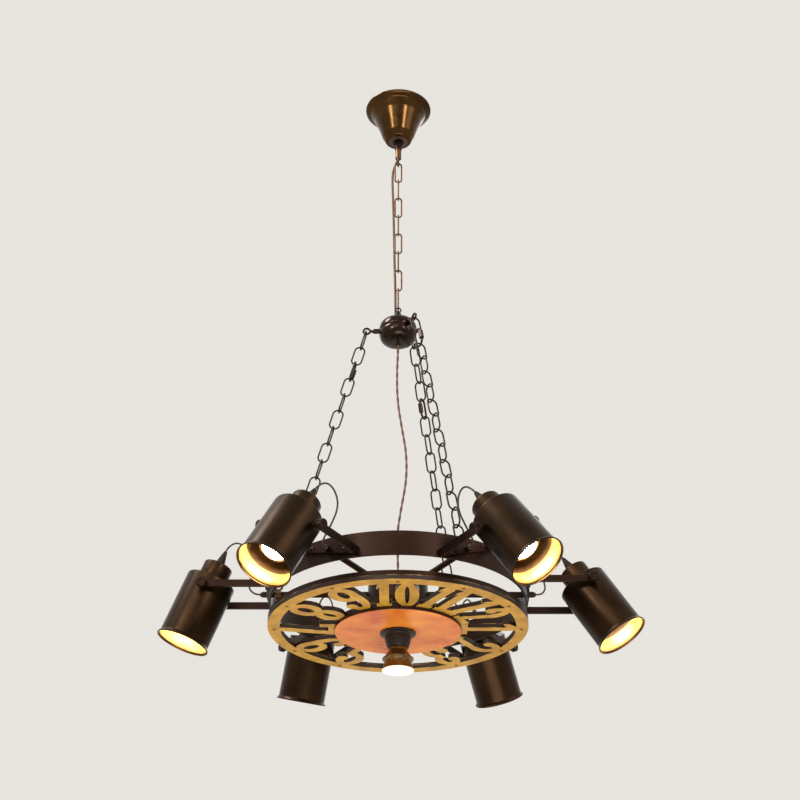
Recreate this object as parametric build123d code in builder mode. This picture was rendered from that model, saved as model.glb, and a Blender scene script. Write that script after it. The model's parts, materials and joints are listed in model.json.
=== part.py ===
"""Wagon wheel chandelier: six tilting can lamps round an iron rim, over a clock dial with its own lamp.

Millimetres. The ceiling is the plane z = 0, the lamp hangs below it on the Z axis, and the front is -Y.
"""
import os
from math import cos, radians, sin, sqrt, tan

from build123d import *

os.makedirs("parts", exist_ok=True)

# Drops below the ceiling
hub_drop = 526.0
wheel_drop = 1045.0
dial_drop = 1106.0

# Clearances
thread_gap = 0.05
seat_gap = 0.1
link_gap = 0.3
running_gap = 0.05

# Ceiling bracket, stem and canopy
bracket_length = 100.0
bracket_width = 20.0
bracket_thick = 3.0
slot_spacing = 70.0
slot_length = 14.0
slot_width = 5.0
stem_r = 4.0
stem_bore_r = 2.75
stem_nut_flats = 14.0
stem_nut_thick = 5.0
terminal_length = 16.0
terminal_width = 18.0
terminal_h = 12.0
terminal_offset = 18.0
canopy_r = 65.0
canopy_lip = 6.0
canopy_flare = 3.0
canopy_throat_r = 49.0
canopy_throat_drop = 20.0
canopy_belly_r = 38.0
canopy_belly_drop = 48.0
canopy_neck_r = 18.0
canopy_h = 82.0
canopy_wall = 1.2
collar_flange_r = 11.0
collar_flange_h = 3.0
collar_r = 6.75
collar_h = 20.0
loop_socket_r = 5.75
loop_socket_h = 22.0
loop_thread_h = 12.0
loop_ring_r = 9.0
loop_wire = 4.0
cord_exit_r = 4.5

# Chains
upper_wire = 3.0
upper_half_width = 6.25
upper_links = 8
lower_wire = 3.0
lower_half_width = 9.0
lower_pitch = 35.0
chain_names = ("left", "front", "back")
chain_angles = (180.0, 300.0, 60.0)
# How many links hang above the screw link of each chain
quick_link_counts = (2, 1, 3)
quick_wire = 4.0
quick_nut_length = 17.0
quick_nut_flats = 8.0
quick_gap = 6.0

# Ball hub
hub_r = 34.0
hub_half_h = 27.0
hub_wall = 1.5
hub_plate_r = 28.0
hub_plate_thick = 8.0
hub_shank_depth = 6.0
hub_cord_hole_r = 2.75
finial_r = 12.0
finial_top_r = 5.0
finial_h = 10.0
finial_skirt = 2.0
finial_stud_r = 4.0
finial_ring_r = 9.0
finial_wire = 4.0
cord_entry_x = -5.0
cord_entry_y = 7.0
eye_reach = 58.0
eye_ring_r = 6.0
eye_wire = 4.0
eye_shank_r = 3.0

# Wheel
rim_r = 215.0
rim_thick = 4.0
rim_h = 40.0
spoke_r = 5.0
spoke_bore_r = 3.0
spoke_stub = 7.0
spoke_inset = 6.0
anchor_inset = 15.0
anchor_collar_r = 9.0
anchor_collar_w = 10.0
anchor_ring_r = 6.0
anchor_wire = 4.0
anchor_lift = 14.0
box_r = 50.0
box_wall = 2.0
box_lid_thick = 3.0
connector_length = 30.0
connector_width = 12.0
connector_h = 14.0
connector_offset = 24.0
bush_flange_r = 5.0
bush_flange_h = 4.0
bush_depth = 8.0

# Lamp yokes and pivots
yoke_thick = 4.0
yoke_h = 12.0
yoke_half_gap = 50.0
pivot_reach = 322.0
rivet_r = 2.0
rivet_head_r = 4.5
rivet_head_h = 2.5
yoke_rivet_angle = 8.0
pivot_r = 3.0
pivot_head_r = 9.0
pivot_head_h = 10.0
pivot_head_round = 2.5
pivot_nut_r = 5.0
pivot_nut_h = 4.0
pivot_nut_gap = 0.4
spacer_r = 5.0

# Can lamps: where each stands round the wheel, how far it leans out from straight down, and how far its yoke is
# turned where it is riveted to the rim
lamp_names = ("right", "back_right", "back_left", "left", "front_left", "front_right")
lamp_angles = (0.0, 60.0, 120.0, 180.0, 240.0, 300.0)
lamp_tilts = (30.0, 33.0, 20.5, 21.0, 28.0, 32.0)
yoke_twists = (-10.0, 0.0, 0.0, 0.0, -12.0, 18.0)
shade_r = 42.0
shade_wall = 1.5
shade_length = 116.0
shade_back = 25.0
shade_shoulder = 6.0
shade_lip_r = 45.0
shade_lip_h = 6.0
shade_lip_land = 2.5
neck_r = 25.0
neck_h = 30.0
neck_round = 3.0
spigot_r = 13.0
holder_flange_r = 20.0
holder_flange_h = 3.0
holder_r = 16.0
holder_front = 4.0
lead_nub_r = 6.0
lead_nub_tip_r = 2.5
lead_nub_h = 28.0
bulb_recess = 30.0
bulb_face_r = 24.5
bulb_face_crown = 3.0
bulb_rim_h = 6.0
bulb_base_r = 12.0
bulb_base_depth = 18.0
bulb_gap = 0.3

# Clock dial
drum_r = 215.0
drum_wall = 3.0
drum_h = 7.5
drum_flange = 20.0
drum_flange_thick = 2.0
face_thick = 7.5
face_centre_r = 104.0
hours = 12
numeral_join = 2.5
numeral_thick = 15.0
numeral_thin = 13.0
numeral_width = 46.0
pair_width = 38.0
one_width = 24.0
pair_gap = 5.0
dial_rivet_inset = 11.0
dial_rivet_shank_r = 1.75
dial_rivet_head_r = 3.5
dial_rivet_head_h = 1.5
disc_r = 105.0
disc_thick = 6.0

# Centre lamp
pipe_r = 5.0
pipe_bore_r = 3.0
pipe_top_lift = 3.0
pipe_nut_flats = 17.0
pipe_nut_thick = 5.0
socket_flange_r = 27.0
socket_flange_h = 4.0
socket_r = 21.5
socket_h = 27.0
socket_thread_h = 5.0
socket_bore_h = 20.0
centre_bulb_base_r = 13.2
centre_bulb_r = 26.0
centre_bulb_neck_r = 15.0
centre_bulb_neck_drop = 37.0
centre_bulb_shoulder_r = 24.5
centre_bulb_shoulder_drop = 52.0
centre_bulb_crown = 3.0
centre_bulb_drop = 74.0

# Cords
supply_cord_d = 4.5
lead_d = 3.0
supply_cord_points = (
    (0, 0, -109), (0, 0, -120.5), (-4, 3, -132), (-8.5, 5, -143.5), (-11, 4.5, -158), (-11.5, 3.5, -178),
    (-10.5, 3, -212), (-9, 3.5, -262), (-8, 5, -318), (-7, 6, -374), (-5.5, 7, -425), (-5.2, 7.2, -462),
    (-5, 7, -492), (-5, 7, -522),
)
drop_cord_points = (
    (0, 0, -530), (0, 0, -566), (-2.5, 1, -618), (-1, 1.5, -676), (7, 1, -730), (15, 0, -782),
    (14.5, -1, -834), (5.5, -1, -885), (-2, 0, -936), (0, 0.5, -986), (0, 0, -1034),
)
lead_rise = 10.0
# Each lead's reach, side and height about the wheel's middle, from above its lamp's neck down to its spoke
lead_points = (
    ((262, 14, 87), (248, 12, 73), (241, 8, 43), (248, 3, 14), (242, 1, 2.5)),
    ((257, 3, 83), (244, 6, 69), (241, 6, 42), (248, 3, 14), (242, 1, 2.5)),
    ((279, -4, 96), (260, -7, 86), (248, -8, 58), (247, -6, 30), (250, -3, 12), (243, -1, 3)),
    ((274, 4, 94), (256, 7, 83), (245, 8, 56), (246, 6, 28), (250, 3, 11), (243, 1, 3)),
    ((265, 26, 90), (251, 33, 78), (243, 34, 54), (246, 22, 23), (243, 6, 4.5)),
    ((262, -33, 83), (248, -35, 72), (241, -31, 50), (245, -19, 22), (242.5, -5, 4)),
)
lead_entry_points = ((234.5, 0, 0), (227, 0, 0))

hub_z = -hub_drop
wheel_z = -wheel_drop
dial_z = -dial_drop
anchor_reach = rim_r - anchor_inset
dial_rivet_reach = drum_r - dial_rivet_inset
up = Vector(0, 0, 1)


def outward(angle):
    """Unit vector from the axis towards a polar angle."""
    return Vector(cos(radians(angle)), sin(radians(angle)), 0)


def sideways(angle):
    """Unit vector along the wheel's rim at a polar angle."""
    return Vector(-sin(radians(angle)), cos(radians(angle)), 0)


def around(reach, angle, height, side=0.0):
    """A point at a reach from the axis, a height, and a distance along the rim."""
    return outward(angle) * reach + sideways(angle) * side + up * height


def pivot_line(angle, twist):
    """Unit vector along a lamp's pivot, which leans where its yoke is turned."""
    return sideways(angle) * cos(radians(twist)) + up * sin(radians(twist))


def save(builder, name):
    builder.part.label = name
    export_step(builder.part, f"parts/{name}.step")


def link_path(plane, length, half_width):
    """Centre line of one oval link, with its length along the plane's y."""
    straight = length / 2 - half_width
    with BuildLine(plane) as path:
        Line((-half_width, -straight), (-half_width, straight))
        ThreePointArc((-half_width, straight), (0, length / 2), (half_width, straight))
        Line((half_width, straight), (half_width, -straight))
        ThreePointArc((half_width, -straight), (0, -length / 2), (-half_width, -straight))
    return path.wire()


def add_link(plane, length, half_width, wire):
    """Add one oval link of round wire to the part that is being built."""
    path = link_path(plane, length, half_width)
    with BuildSketch(Plane(origin=path @ 0, z_dir=path % 0)) as section:
        Circle(wire / 2)
    sweep(section.sketch, path=path)


def chain_planes(start, end, wires, first_side):
    """Planes and length of the links that join two wire centres, each turned a quarter from the last."""
    axis = (end - start).normalized()
    overlaps = [(a + b) / 2 + link_gap for a, b in zip(wires, wires[1:])]
    length = ((end - start).length + sum(overlaps)) / len(wires)
    planes = []
    top = start
    side = first_side
    for overlap in overlaps + [0.0]:
        planes.append(Plane(origin=top + axis * (length / 2), x_dir=side, z_dir=side.cross(axis)))
        top = top + axis * (length - overlap)
        side = axis.cross(side)
    return planes, length


def add_cord(points, diameter):
    """Add a tube along straight runs and tangent arcs, and print its tightest bend and its length."""
    points = [Vector(*p) for p in points]
    runs = [b - a for a, b in zip(points, points[1:])]
    radii = []
    for before, after in zip(runs, runs[1:]):
        half_turn = radians(before.get_angle(after)) / 2
        radii.append(0.45 * min(before.length, after.length) / tan(half_turn))
    with BuildLine() as path:
        FilletPolyline(*points, radius=radii)
    line = path.wire()
    with BuildSketch(Plane(origin=line @ 0, z_dir=line % 0)) as section:
        Circle(diameter / 2)
    sweep(section.sketch, path=line)
    print(f"cord of {diameter}: length {line.length:.1f}, tightest radius {min(radii):.1f}")


# Ceiling fixing
with BuildPart() as ceiling_bracket:
    with BuildSketch(Plane.XY.offset(-bracket_thick)):
        Rectangle(bracket_length, bracket_width)
        Circle(stem_r + thread_gap, mode=Mode.SUBTRACT)
        with GridLocations(slot_spacing, 0, 2, 1):
            SlotOverall(slot_length, slot_width, mode=Mode.SUBTRACT)
    extrude(amount=bracket_thick)
    fillet(ceiling_bracket.edges().filter_by(Axis.Z).group_by(SortBy.LENGTH)[-1].sort_by(Axis.X)[:2], 3)
save(ceiling_bracket, "ceiling_bracket")

collar_top = -canopy_h
collar_bottom = collar_top - collar_h
loop_end = collar_bottom - loop_socket_h
stem_bottom = collar_bottom - loop_thread_h

with BuildPart() as stem_tube:
    with BuildSketch(Plane.XY):
        Circle(stem_r)
        Circle(stem_bore_r, mode=Mode.SUBTRACT)
    extrude(amount=stem_bottom)
save(stem_tube, "stem_tube")

with BuildPart() as stem_nut:
    with BuildSketch(Plane.XY.offset(-bracket_thick)):
        RegularPolygon(stem_nut_flats / 2, 6, major_radius=False)
        Circle(stem_r + thread_gap, mode=Mode.SUBTRACT)
    extrude(amount=-stem_nut_thick)
save(stem_nut, "stem_nut")

with BuildPart() as terminal_block:
    with BuildSketch(Plane.XY.offset(-bracket_thick)):
        with Locations((terminal_offset, 0)):
            Rectangle(terminal_length, terminal_width)
    extrude(amount=-terminal_h)
    fillet(terminal_block.edges().filter_by(Axis.Z), 1.5)
save(terminal_block, "terminal_block")


def add_bell(inset, mode):
    """Add or cut the canopy's outline, drawn in by an inset: a lip, a flared throat and a round belly."""
    lip = (canopy_r - inset, -canopy_lip)
    throat = (canopy_throat_r - inset, -canopy_throat_drop)
    belly = (canopy_belly_r - inset, -canopy_belly_drop)
    neck = (canopy_neck_r - inset, inset - canopy_h)
    with BuildSketch(Plane.XZ) as outline:
        with BuildLine():
            Polyline((0, neck[1]), (0, 0), (lip[0], 0), lip)
            SagittaArc(lip, throat, -canopy_flare)
            ThreePointArc(throat, belly, neck)
            Line(neck, (0, neck[1]))
        make_face()
    revolve(outline.sketch, axis=Axis.Z, mode=mode)


with BuildPart() as canopy:
    add_bell(0.0, Mode.ADD)
    add_bell(canopy_wall, Mode.SUBTRACT)
    with BuildSketch(Plane.XY.offset(collar_top)):
        Circle(stem_r + seat_gap)
    extrude(amount=2 * canopy_wall, mode=Mode.SUBTRACT)
save(canopy, "canopy")

with BuildPart() as canopy_collar:
    with BuildSketch(Plane.XY.offset(collar_top)):
        Circle(collar_flange_r)
    extrude(amount=-collar_flange_h)
    with BuildSketch(Plane.XY.offset(collar_top)):
        Circle(collar_r)
    extrude(amount=-collar_h)
    with BuildSketch(Plane.XY.offset(collar_top)):
        Circle(stem_r + thread_gap)
    extrude(amount=-collar_h, mode=Mode.SUBTRACT)
save(canopy_collar, "canopy_collar")

loop_ring_z = loop_end + loop_wire / 2 - loop_ring_r
with BuildPart() as canopy_loop:
    with BuildSketch(Plane.XY.offset(collar_bottom)):
        Circle(loop_socket_r)
    extrude(amount=-loop_socket_h)
    with Locations(Plane(origin=(0, 0, loop_ring_z), z_dir=(1, 0, 0))):
        Torus(loop_ring_r, loop_wire / 2)
    with BuildSketch(Plane.XY.offset(collar_bottom)):
        Circle(stem_r + thread_gap)
    extrude(amount=-loop_thread_h, mode=Mode.SUBTRACT)
    with BuildSketch(Plane.XY.offset(stem_bottom)):
        Circle(stem_bore_r)
    with BuildSketch(Plane.XY.offset(loop_end - loop_wire)):
        Circle(cord_exit_r)
    loft(mode=Mode.SUBTRACT)
save(canopy_loop, "canopy_loop")

# Upper chain: its first link swings in the canopy's loop, and the others hang from it
finial_base = hub_z + hub_half_h - finial_skirt
finial_ring_z = finial_base + finial_h + finial_ring_r - finial_wire / 2
chain_top = loop_ring_z - loop_ring_r + (loop_wire + upper_wire) / 2 + link_gap
chain_bottom = finial_ring_z + finial_ring_r - (finial_wire + upper_wire) / 2 - link_gap
upper_planes, upper_length = chain_planes(
    Vector(0, 0, chain_top), Vector(0, 0, chain_bottom), [upper_wire] * upper_links, Vector(1, 0, 0)
)
with BuildPart() as top_link:
    add_link(upper_planes[0], upper_length, upper_half_width, upper_wire)
save(top_link, "top_link")

with BuildPart() as upper_chain:
    for link_plane in upper_planes[1:]:
        add_link(link_plane, upper_length, upper_half_width, upper_wire)
save(upper_chain, "upper_chain")


# Ball hub: two shells round a plate, which carries the finial and the three eye bolts
def add_ball(inset, mode):
    """Add or cut the flattened ball, drawn in by an inset."""
    with BuildSketch(Plane.XZ) as outline:
        with Locations((0, hub_z)):
            Ellipse(hub_r - inset, hub_half_h - inset)
        with Locations((-hub_r, hub_z)):
            Rectangle(2 * hub_r, 3 * hub_half_h, mode=Mode.SUBTRACT)
    revolve(outline.sketch, axis=Axis.Z, mode=mode)


def cut_eye_shanks():
    """Cut the three radial holes that the eye bolts' shanks pass through."""
    for angle in chain_angles:
        shank_end = around(hub_plate_r - hub_shank_depth, angle, hub_z)
        with BuildSketch(Plane(origin=shank_end, z_dir=outward(angle))) as hole:
            Circle(eye_shank_r + thread_gap)
        extrude(hole.sketch, amount=eye_reach, mode=Mode.SUBTRACT)


def cut_upright_hole(radius, x, y, low, high):
    """Cut a round hole along Z."""
    with BuildSketch(Plane.XY.offset(low)) as hole:
        with Locations((x, y)):
            Circle(radius)
    extrude(hole.sketch, amount=high - low, mode=Mode.SUBTRACT)


def half_shell(top):
    """One half of the ball, with the holes that its half has."""
    with BuildPart() as shell:
        add_ball(0.0, Mode.ADD)
        add_ball(hub_wall, Mode.SUBTRACT)
        split(bisect_by=Plane.XY.offset(hub_z), keep=Keep.TOP if top else Keep.BOTTOM)
        cut_eye_shanks()
        if top:
            cut_upright_hole(finial_stud_r + thread_gap, 0, 0, hub_z, hub_z + 2 * hub_half_h)
            cut_upright_hole(hub_cord_hole_r, cord_entry_x, cord_entry_y, hub_z, hub_z + 2 * hub_half_h)
        else:
            cut_upright_hole(hub_cord_hole_r, 0, 0, hub_z - 2 * hub_half_h, hub_z)
    return shell


hub_dome = half_shell(True)
save(hub_dome, "hub_dome")
hub_cup = half_shell(False)
save(hub_cup, "hub_cup")

with BuildPart() as hub_plate:
    with BuildSketch(Plane.XY.offset(hub_z - hub_plate_thick / 2)):
        Circle(hub_plate_r)
    extrude(amount=hub_plate_thick)
    cut_eye_shanks()
save(hub_plate, "hub_plate")

with BuildPart() as hub_finial:
    with BuildSketch(Plane.XY.offset(finial_base)):
        Circle(finial_r)
    with BuildSketch(Plane.XY.offset(finial_base + finial_h)):
        Circle(finial_top_r)
    loft()
    add_ball(-seat_gap, Mode.SUBTRACT)
    with BuildSketch(Plane.XY.offset(hub_z + hub_plate_thick / 2)):
        Circle(finial_stud_r)
    extrude(until=Until.NEXT)
    with Locations(Plane(origin=(0, 0, finial_ring_z), z_dir=(0, 1, 0))):
        Torus(finial_ring_r, finial_wire / 2)
    cut_upright_hole(hub_cord_hole_r, cord_entry_x, cord_entry_y, finial_base, finial_base + finial_h)
save(hub_finial, "hub_finial")

with BuildPart() as hub_eye_bolts:
    for angle in chain_angles:
        with Locations(Plane(origin=around(eye_reach, angle, hub_z), z_dir=sideways(angle))):
            Torus(eye_ring_r, eye_wire / 2)
        with BuildSketch(Plane(origin=around(hub_plate_r - hub_shank_depth, angle, hub_z), z_dir=outward(angle))):
            Circle(eye_shank_r)
        extrude(amount=eye_reach - eye_ring_r - hub_plate_r + hub_shank_depth)
save(hub_eye_bolts, "hub_eye_bolts")

# Lower chains, each with one screw link, from the ball's eyes to the collars on the spokes
anchor_z = wheel_z + anchor_lift


def lower_chain_layout(angle, quick_place):
    """Planes and length of one chain's links. Their count is odd, so that both end eyes stand in line."""
    eye = around(eye_reach, angle, hub_z)
    anchor = around(anchor_reach, angle, anchor_z)
    axis = (anchor - eye).normalized()
    start = eye + axis * (eye_ring_r - (eye_wire + lower_wire) / 2 - link_gap)
    end = anchor - axis * (anchor_ring_r - (anchor_wire + lower_wire) / 2 - link_gap)
    count = 2 * round(((end - start).length / lower_pitch - 1) / 2) + 1
    wires = [lower_wire] * count
    wires[quick_place] = quick_wire
    return chain_planes(start, end, wires, sideways(angle))


for chain_name, angle, quick_place in zip(chain_names, chain_angles, quick_link_counts):
    planes, length = lower_chain_layout(angle, quick_place)
    with BuildPart() as lower_chain:
        for place, link_plane in enumerate(planes):
            if place != quick_place:
                add_link(link_plane, length, lower_half_width, lower_wire)
    save(lower_chain, f"chain_{chain_name}")

with BuildPart() as quick_links:
    for angle, quick_place in zip(chain_angles, quick_link_counts):
        planes, length = lower_chain_layout(angle, quick_place)
        link_plane = planes[quick_place]
        add_link(link_plane, length, lower_half_width, quick_wire)
        with Locations(link_plane * Location((lower_half_width, 0, 0))):
            Box(2 * quick_wire, quick_gap, 2 * quick_wire, mode=Mode.SUBTRACT)
save(quick_links, "quick_links")

with BuildPart() as quick_link_nuts:
    for angle, quick_place in zip(chain_angles, quick_link_counts):
        planes, length = lower_chain_layout(angle, quick_place)
        nut_centre = planes[quick_place].from_local_coords((lower_half_width, 0, 0))
        nut_axis = planes[quick_place].y_dir
        with BuildSketch(Plane(origin=nut_centre - nut_axis * (quick_nut_length / 2), z_dir=nut_axis)):
            RegularPolygon(quick_nut_flats / 2, 6, major_radius=False)
            Circle(quick_wire / 2 + thread_gap, mode=Mode.SUBTRACT)
        extrude(amount=quick_nut_length)
save(quick_link_nuts, "quick_link_nuts")


# Wheel: rim, six hollow spokes that carry the wires, and a junction box in the middle
def cut_round_the_rim(radius, angle, low, high, height=wheel_z):
    """Cut a radial hole through the rim, between two reaches."""
    with BuildSketch(Plane(origin=around(low, angle, height), z_dir=outward(angle))) as hole:
        Circle(radius)
    extrude(hole.sketch, amount=high - low, mode=Mode.SUBTRACT)


def yoke_rivet_spots(angle, twist):
    """Polar angle and height of the two rivets that hold a yoke."""
    spots = []
    for turn in (-yoke_rivet_angle, yoke_rivet_angle):
        rise = rim_r * sin(radians(turn)) * sin(radians(twist))
        spots.append((angle + turn * cos(radians(twist)), wheel_z + rise))
    return spots


yoke_inner_r = rim_r + seat_gap
yoke_outer_r = yoke_inner_r + yoke_thick
spoke_end = yoke_outer_r + spoke_stub
box_top = wheel_z + rim_h / 2
box_bottom = wheel_z - rim_h / 2

with BuildPart() as wheel_rim:
    with BuildSketch(Plane.XY.offset(wheel_z - rim_h / 2)):
        Circle(rim_r)
        Circle(rim_r - rim_thick, mode=Mode.SUBTRACT)
    extrude(amount=rim_h)
    for lamp_angle, twist in zip(lamp_angles, yoke_twists):
        cut_round_the_rim(spoke_r + seat_gap, lamp_angle, rim_r - 2 * rim_thick, rim_r + rim_thick)
        for angle, height in yoke_rivet_spots(lamp_angle, twist):
            cut_round_the_rim(rivet_r + thread_gap, angle, rim_r - 2 * rim_thick, rim_r + rim_thick, height)
save(wheel_rim, "wheel_rim")

with BuildPart() as spokes:
    for angle in lamp_angles:
        with BuildSketch(Plane(origin=around(box_r - spoke_inset, angle, wheel_z), z_dir=outward(angle))):
            Circle(spoke_r)
            Circle(spoke_bore_r, mode=Mode.SUBTRACT)
        extrude(amount=spoke_end - box_r + spoke_inset)
save(spokes, "spokes")

with BuildPart() as chain_collars:
    for angle in chain_angles:
        collar_start = around(anchor_reach - anchor_collar_w / 2, angle, wheel_z)
        with BuildSketch(Plane(origin=collar_start, z_dir=outward(angle))):
            Circle(anchor_collar_r)
        extrude(amount=anchor_collar_w)
        with Locations(Plane(origin=around(anchor_reach, angle, anchor_z), z_dir=sideways(angle))):
            Torus(anchor_ring_r, anchor_wire / 2)
        with BuildSketch(Plane(origin=collar_start, z_dir=outward(angle))):
            Circle(spoke_r + seat_gap)
        extrude(amount=anchor_collar_w, mode=Mode.SUBTRACT)
save(chain_collars, "chain_collars")

with BuildPart() as hub_box:
    with BuildSketch(Plane.XY.offset(box_bottom)):
        Circle(box_r)
    extrude(amount=rim_h)
    with BuildSketch(Plane.XY.offset(box_bottom + box_wall)):
        Circle(box_r - box_wall)
    extrude(amount=rim_h, mode=Mode.SUBTRACT)
    for angle in lamp_angles:
        cut_round_the_rim(spoke_r + seat_gap, angle, box_r - 2 * box_wall, box_r + box_wall)
    cut_upright_hole(pipe_r + thread_gap, 0, 0, box_bottom, box_top)
save(hub_box, "hub_box")

with BuildPart() as hub_lid:
    with BuildSketch(Plane.XY.offset(box_top)):
        Circle(box_r)
        Circle(hub_cord_hole_r, mode=Mode.SUBTRACT)
    extrude(amount=box_lid_thick)
    fillet(hub_lid.faces().sort_by(Axis.Z)[-1].outer_wire().edges(), box_lid_thick / 3)
save(hub_lid, "hub_lid")

with BuildPart() as wire_connectors:
    with BuildSketch(Plane.XY.offset(box_bottom + box_wall)):
        with GridLocations(2 * connector_offset, 0, 2, 1):
            Rectangle(connector_width, connector_length)
    extrude(amount=connector_h)
save(wire_connectors, "wire_connectors")

with BuildPart() as lead_bushes:
    for angle in lamp_angles:
        with BuildSketch(Plane(origin=around(spoke_end, angle, wheel_z), z_dir=outward(angle))):
            Circle(bush_flange_r)
        with BuildSketch(Plane(origin=around(spoke_end + bush_flange_h, angle, wheel_z), z_dir=outward(angle))):
            Circle(lead_d)
        loft()
        with BuildSketch(Plane(origin=around(spoke_end - bush_depth, angle, wheel_z), z_dir=outward(angle))):
            Circle(spoke_bore_r - seat_gap)
        extrude(amount=bush_depth)
        with BuildSketch(Plane(origin=around(spoke_end - bush_depth, angle, wheel_z), z_dir=outward(angle))):
            Circle(lead_d / 2 + seat_gap)
        extrude(amount=bush_depth + bush_flange_h, mode=Mode.SUBTRACT)
save(lead_bushes, "lead_bushes")

# Lamp yokes, riveted to the rim
leg_inside = yoke_half_gap - yoke_thick / 2
leg_outside = yoke_half_gap + yoke_thick / 2


def make_yoke(lamp_angle, twist):
    """A strap bent to a U: its middle lies round the rim, and its legs reach out to the lamp's pivot."""
    pivot = pivot_line(lamp_angle, twist)
    strap = Plane(origin=around(pivot_reach, lamp_angle, wheel_z), x_dir=pivot, z_dir=-outward(lamp_angle))
    with BuildPart() as gap:
        with BuildSketch(strap):
            Rectangle(2 * leg_inside, 2 * yoke_h)
        extrude(amount=pivot_reach)
        with BuildSketch(Plane.XY.offset(wheel_z - rim_r)):
            Circle(yoke_outer_r)
        extrude(amount=2 * rim_r, mode=Mode.SUBTRACT)
    with BuildPart() as yoke:
        with BuildSketch(strap):
            Rectangle(2 * leg_outside, yoke_h)
        extrude(amount=pivot_reach)
        with BuildSketch(Plane.XY.offset(wheel_z - rim_r)):
            Circle(yoke_inner_r)
        extrude(amount=2 * rim_r, mode=Mode.SUBTRACT)
        add(gap.part, mode=Mode.SUBTRACT)
        for side in (-yoke_half_gap, yoke_half_gap):
            leg_end = Plane(origin=strap.origin + pivot * side, z_dir=pivot)
            with BuildSketch(leg_end.offset(-yoke_thick / 2)):
                Circle(yoke_h / 2)
            extrude(amount=yoke_thick)
            with BuildSketch(leg_end.offset(-yoke_thick / 2)):
                Circle(pivot_r + thread_gap)
            extrude(amount=yoke_thick, mode=Mode.SUBTRACT)
        cut_low = yoke_inner_r - yoke_thick
        cut_high = yoke_outer_r + yoke_thick
        cut_round_the_rim(spoke_r + seat_gap, lamp_angle, cut_low, cut_high)
        for angle, height in yoke_rivet_spots(lamp_angle, twist):
            cut_round_the_rim(rivet_r + thread_gap, angle, cut_low, cut_high, height)
    return yoke


bent_straps = [make_yoke(angle, twist) for angle, twist in zip(lamp_angles, yoke_twists)]
with BuildPart() as yokes:
    for strap in bent_straps:
        add(strap.part)
save(yokes, "yokes")

with BuildPart() as yoke_rivets:
    for lamp_angle, twist in zip(lamp_angles, yoke_twists):
        for angle, height in yoke_rivet_spots(lamp_angle, twist):
            inner_face = rim_r - rim_thick - seat_gap
            outer_face = yoke_outer_r + seat_gap
            with BuildSketch(Plane(origin=around(inner_face, angle, height), z_dir=outward(angle))):
                Circle(rivet_r)
            extrude(amount=outer_face - inner_face)
            with BuildSketch(Plane(origin=around(inner_face, angle, height), z_dir=outward(angle))):
                Circle(rivet_head_r)
            extrude(amount=-rivet_head_h / 2)
            with BuildSketch(Plane(origin=around(outer_face, angle, height), z_dir=outward(angle))):
                Circle(rivet_head_r)
            with BuildSketch(Plane(origin=around(outer_face + rivet_head_h, angle, height), z_dir=outward(angle))):
                Circle(rivet_head_r / 2)
            loft()
save(yoke_rivets, "yoke_rivets")

nut_start = sqrt((shade_r - shade_wall) ** 2 - pivot_nut_r**2) - pivot_nut_gap
spacer_start = shade_r + link_gap


def pivot_plane(pivot, angle, side, distance):
    """Plane across a lamp's pivot, at a distance from the lamp's middle, facing away from it."""
    return Plane(origin=around(pivot_reach, angle, wheel_z) + pivot * (side * distance), z_dir=pivot * side)


with BuildPart() as pivot_bolts:
    for angle, twist in zip(lamp_angles, yoke_twists):
        pivot = pivot_line(angle, twist)
        for side in (-1, 1):
            with BuildSketch(pivot_plane(pivot, angle, side, leg_outside)):
                Circle(pivot_head_r)
            extrude(amount=pivot_head_h - pivot_head_round)
            with BuildSketch(pivot_plane(pivot, angle, side, leg_outside + pivot_head_h - pivot_head_round)):
                Circle(pivot_head_r)
            with BuildSketch(pivot_plane(pivot, angle, side, leg_outside + pivot_head_h)):
                Circle(pivot_head_r - pivot_head_round)
            loft()
            with BuildSketch(pivot_plane(pivot, angle, side, nut_start - pivot_nut_h)):
                Circle(pivot_r)
            extrude(amount=leg_outside - nut_start + pivot_nut_h)
save(pivot_bolts, "pivot_bolts")

with BuildPart() as pivot_spacers:
    for angle, twist in zip(lamp_angles, yoke_twists):
        pivot = pivot_line(angle, twist)
        for side in (-1, 1):
            with BuildSketch(pivot_plane(pivot, angle, side, spacer_start)):
                Circle(spacer_r)
                Circle(pivot_r + thread_gap, mode=Mode.SUBTRACT)
            extrude(amount=leg_inside - spacer_start)
save(pivot_spacers, "pivot_spacers")

with BuildPart() as pivot_nuts:
    for angle, twist in zip(lamp_angles, yoke_twists):
        pivot = pivot_line(angle, twist)
        for side in (-1, 1):
            with BuildSketch(pivot_plane(pivot, angle, side, nut_start - pivot_nut_h)):
                RegularPolygon(pivot_nut_r, 6)
                Circle(pivot_r + thread_gap, mode=Mode.SUBTRACT)
            extrude(amount=pivot_nut_h)
save(pivot_nuts, "pivot_nuts")

# Can lamps
shade_mouth = shade_length - shade_back
bulb_front = shade_mouth - bulb_recess


def lamp_section(angle, tilt, twist):
    """Plane through a lamp's pivot: its x runs along the pivot and its y along the lamp, to the mouth."""
    pivot = pivot_line(angle, twist)
    aim = outward(angle) * sin(radians(tilt)) + pivot.cross(outward(angle)) * cos(radians(tilt))
    return Plane(origin=around(pivot_reach, angle, wheel_z), x_dir=pivot, z_dir=pivot.cross(aim))


def turn(section, outline, mode=Mode.ADD):
    """Revolve an outline of (radius, along) points about the lamp's own line."""
    with BuildSketch(section) as half:
        Polygon(*outline, align=None)
    revolve(half.sketch, axis=Axis(section.origin, section.y_dir), mode=mode)


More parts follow.
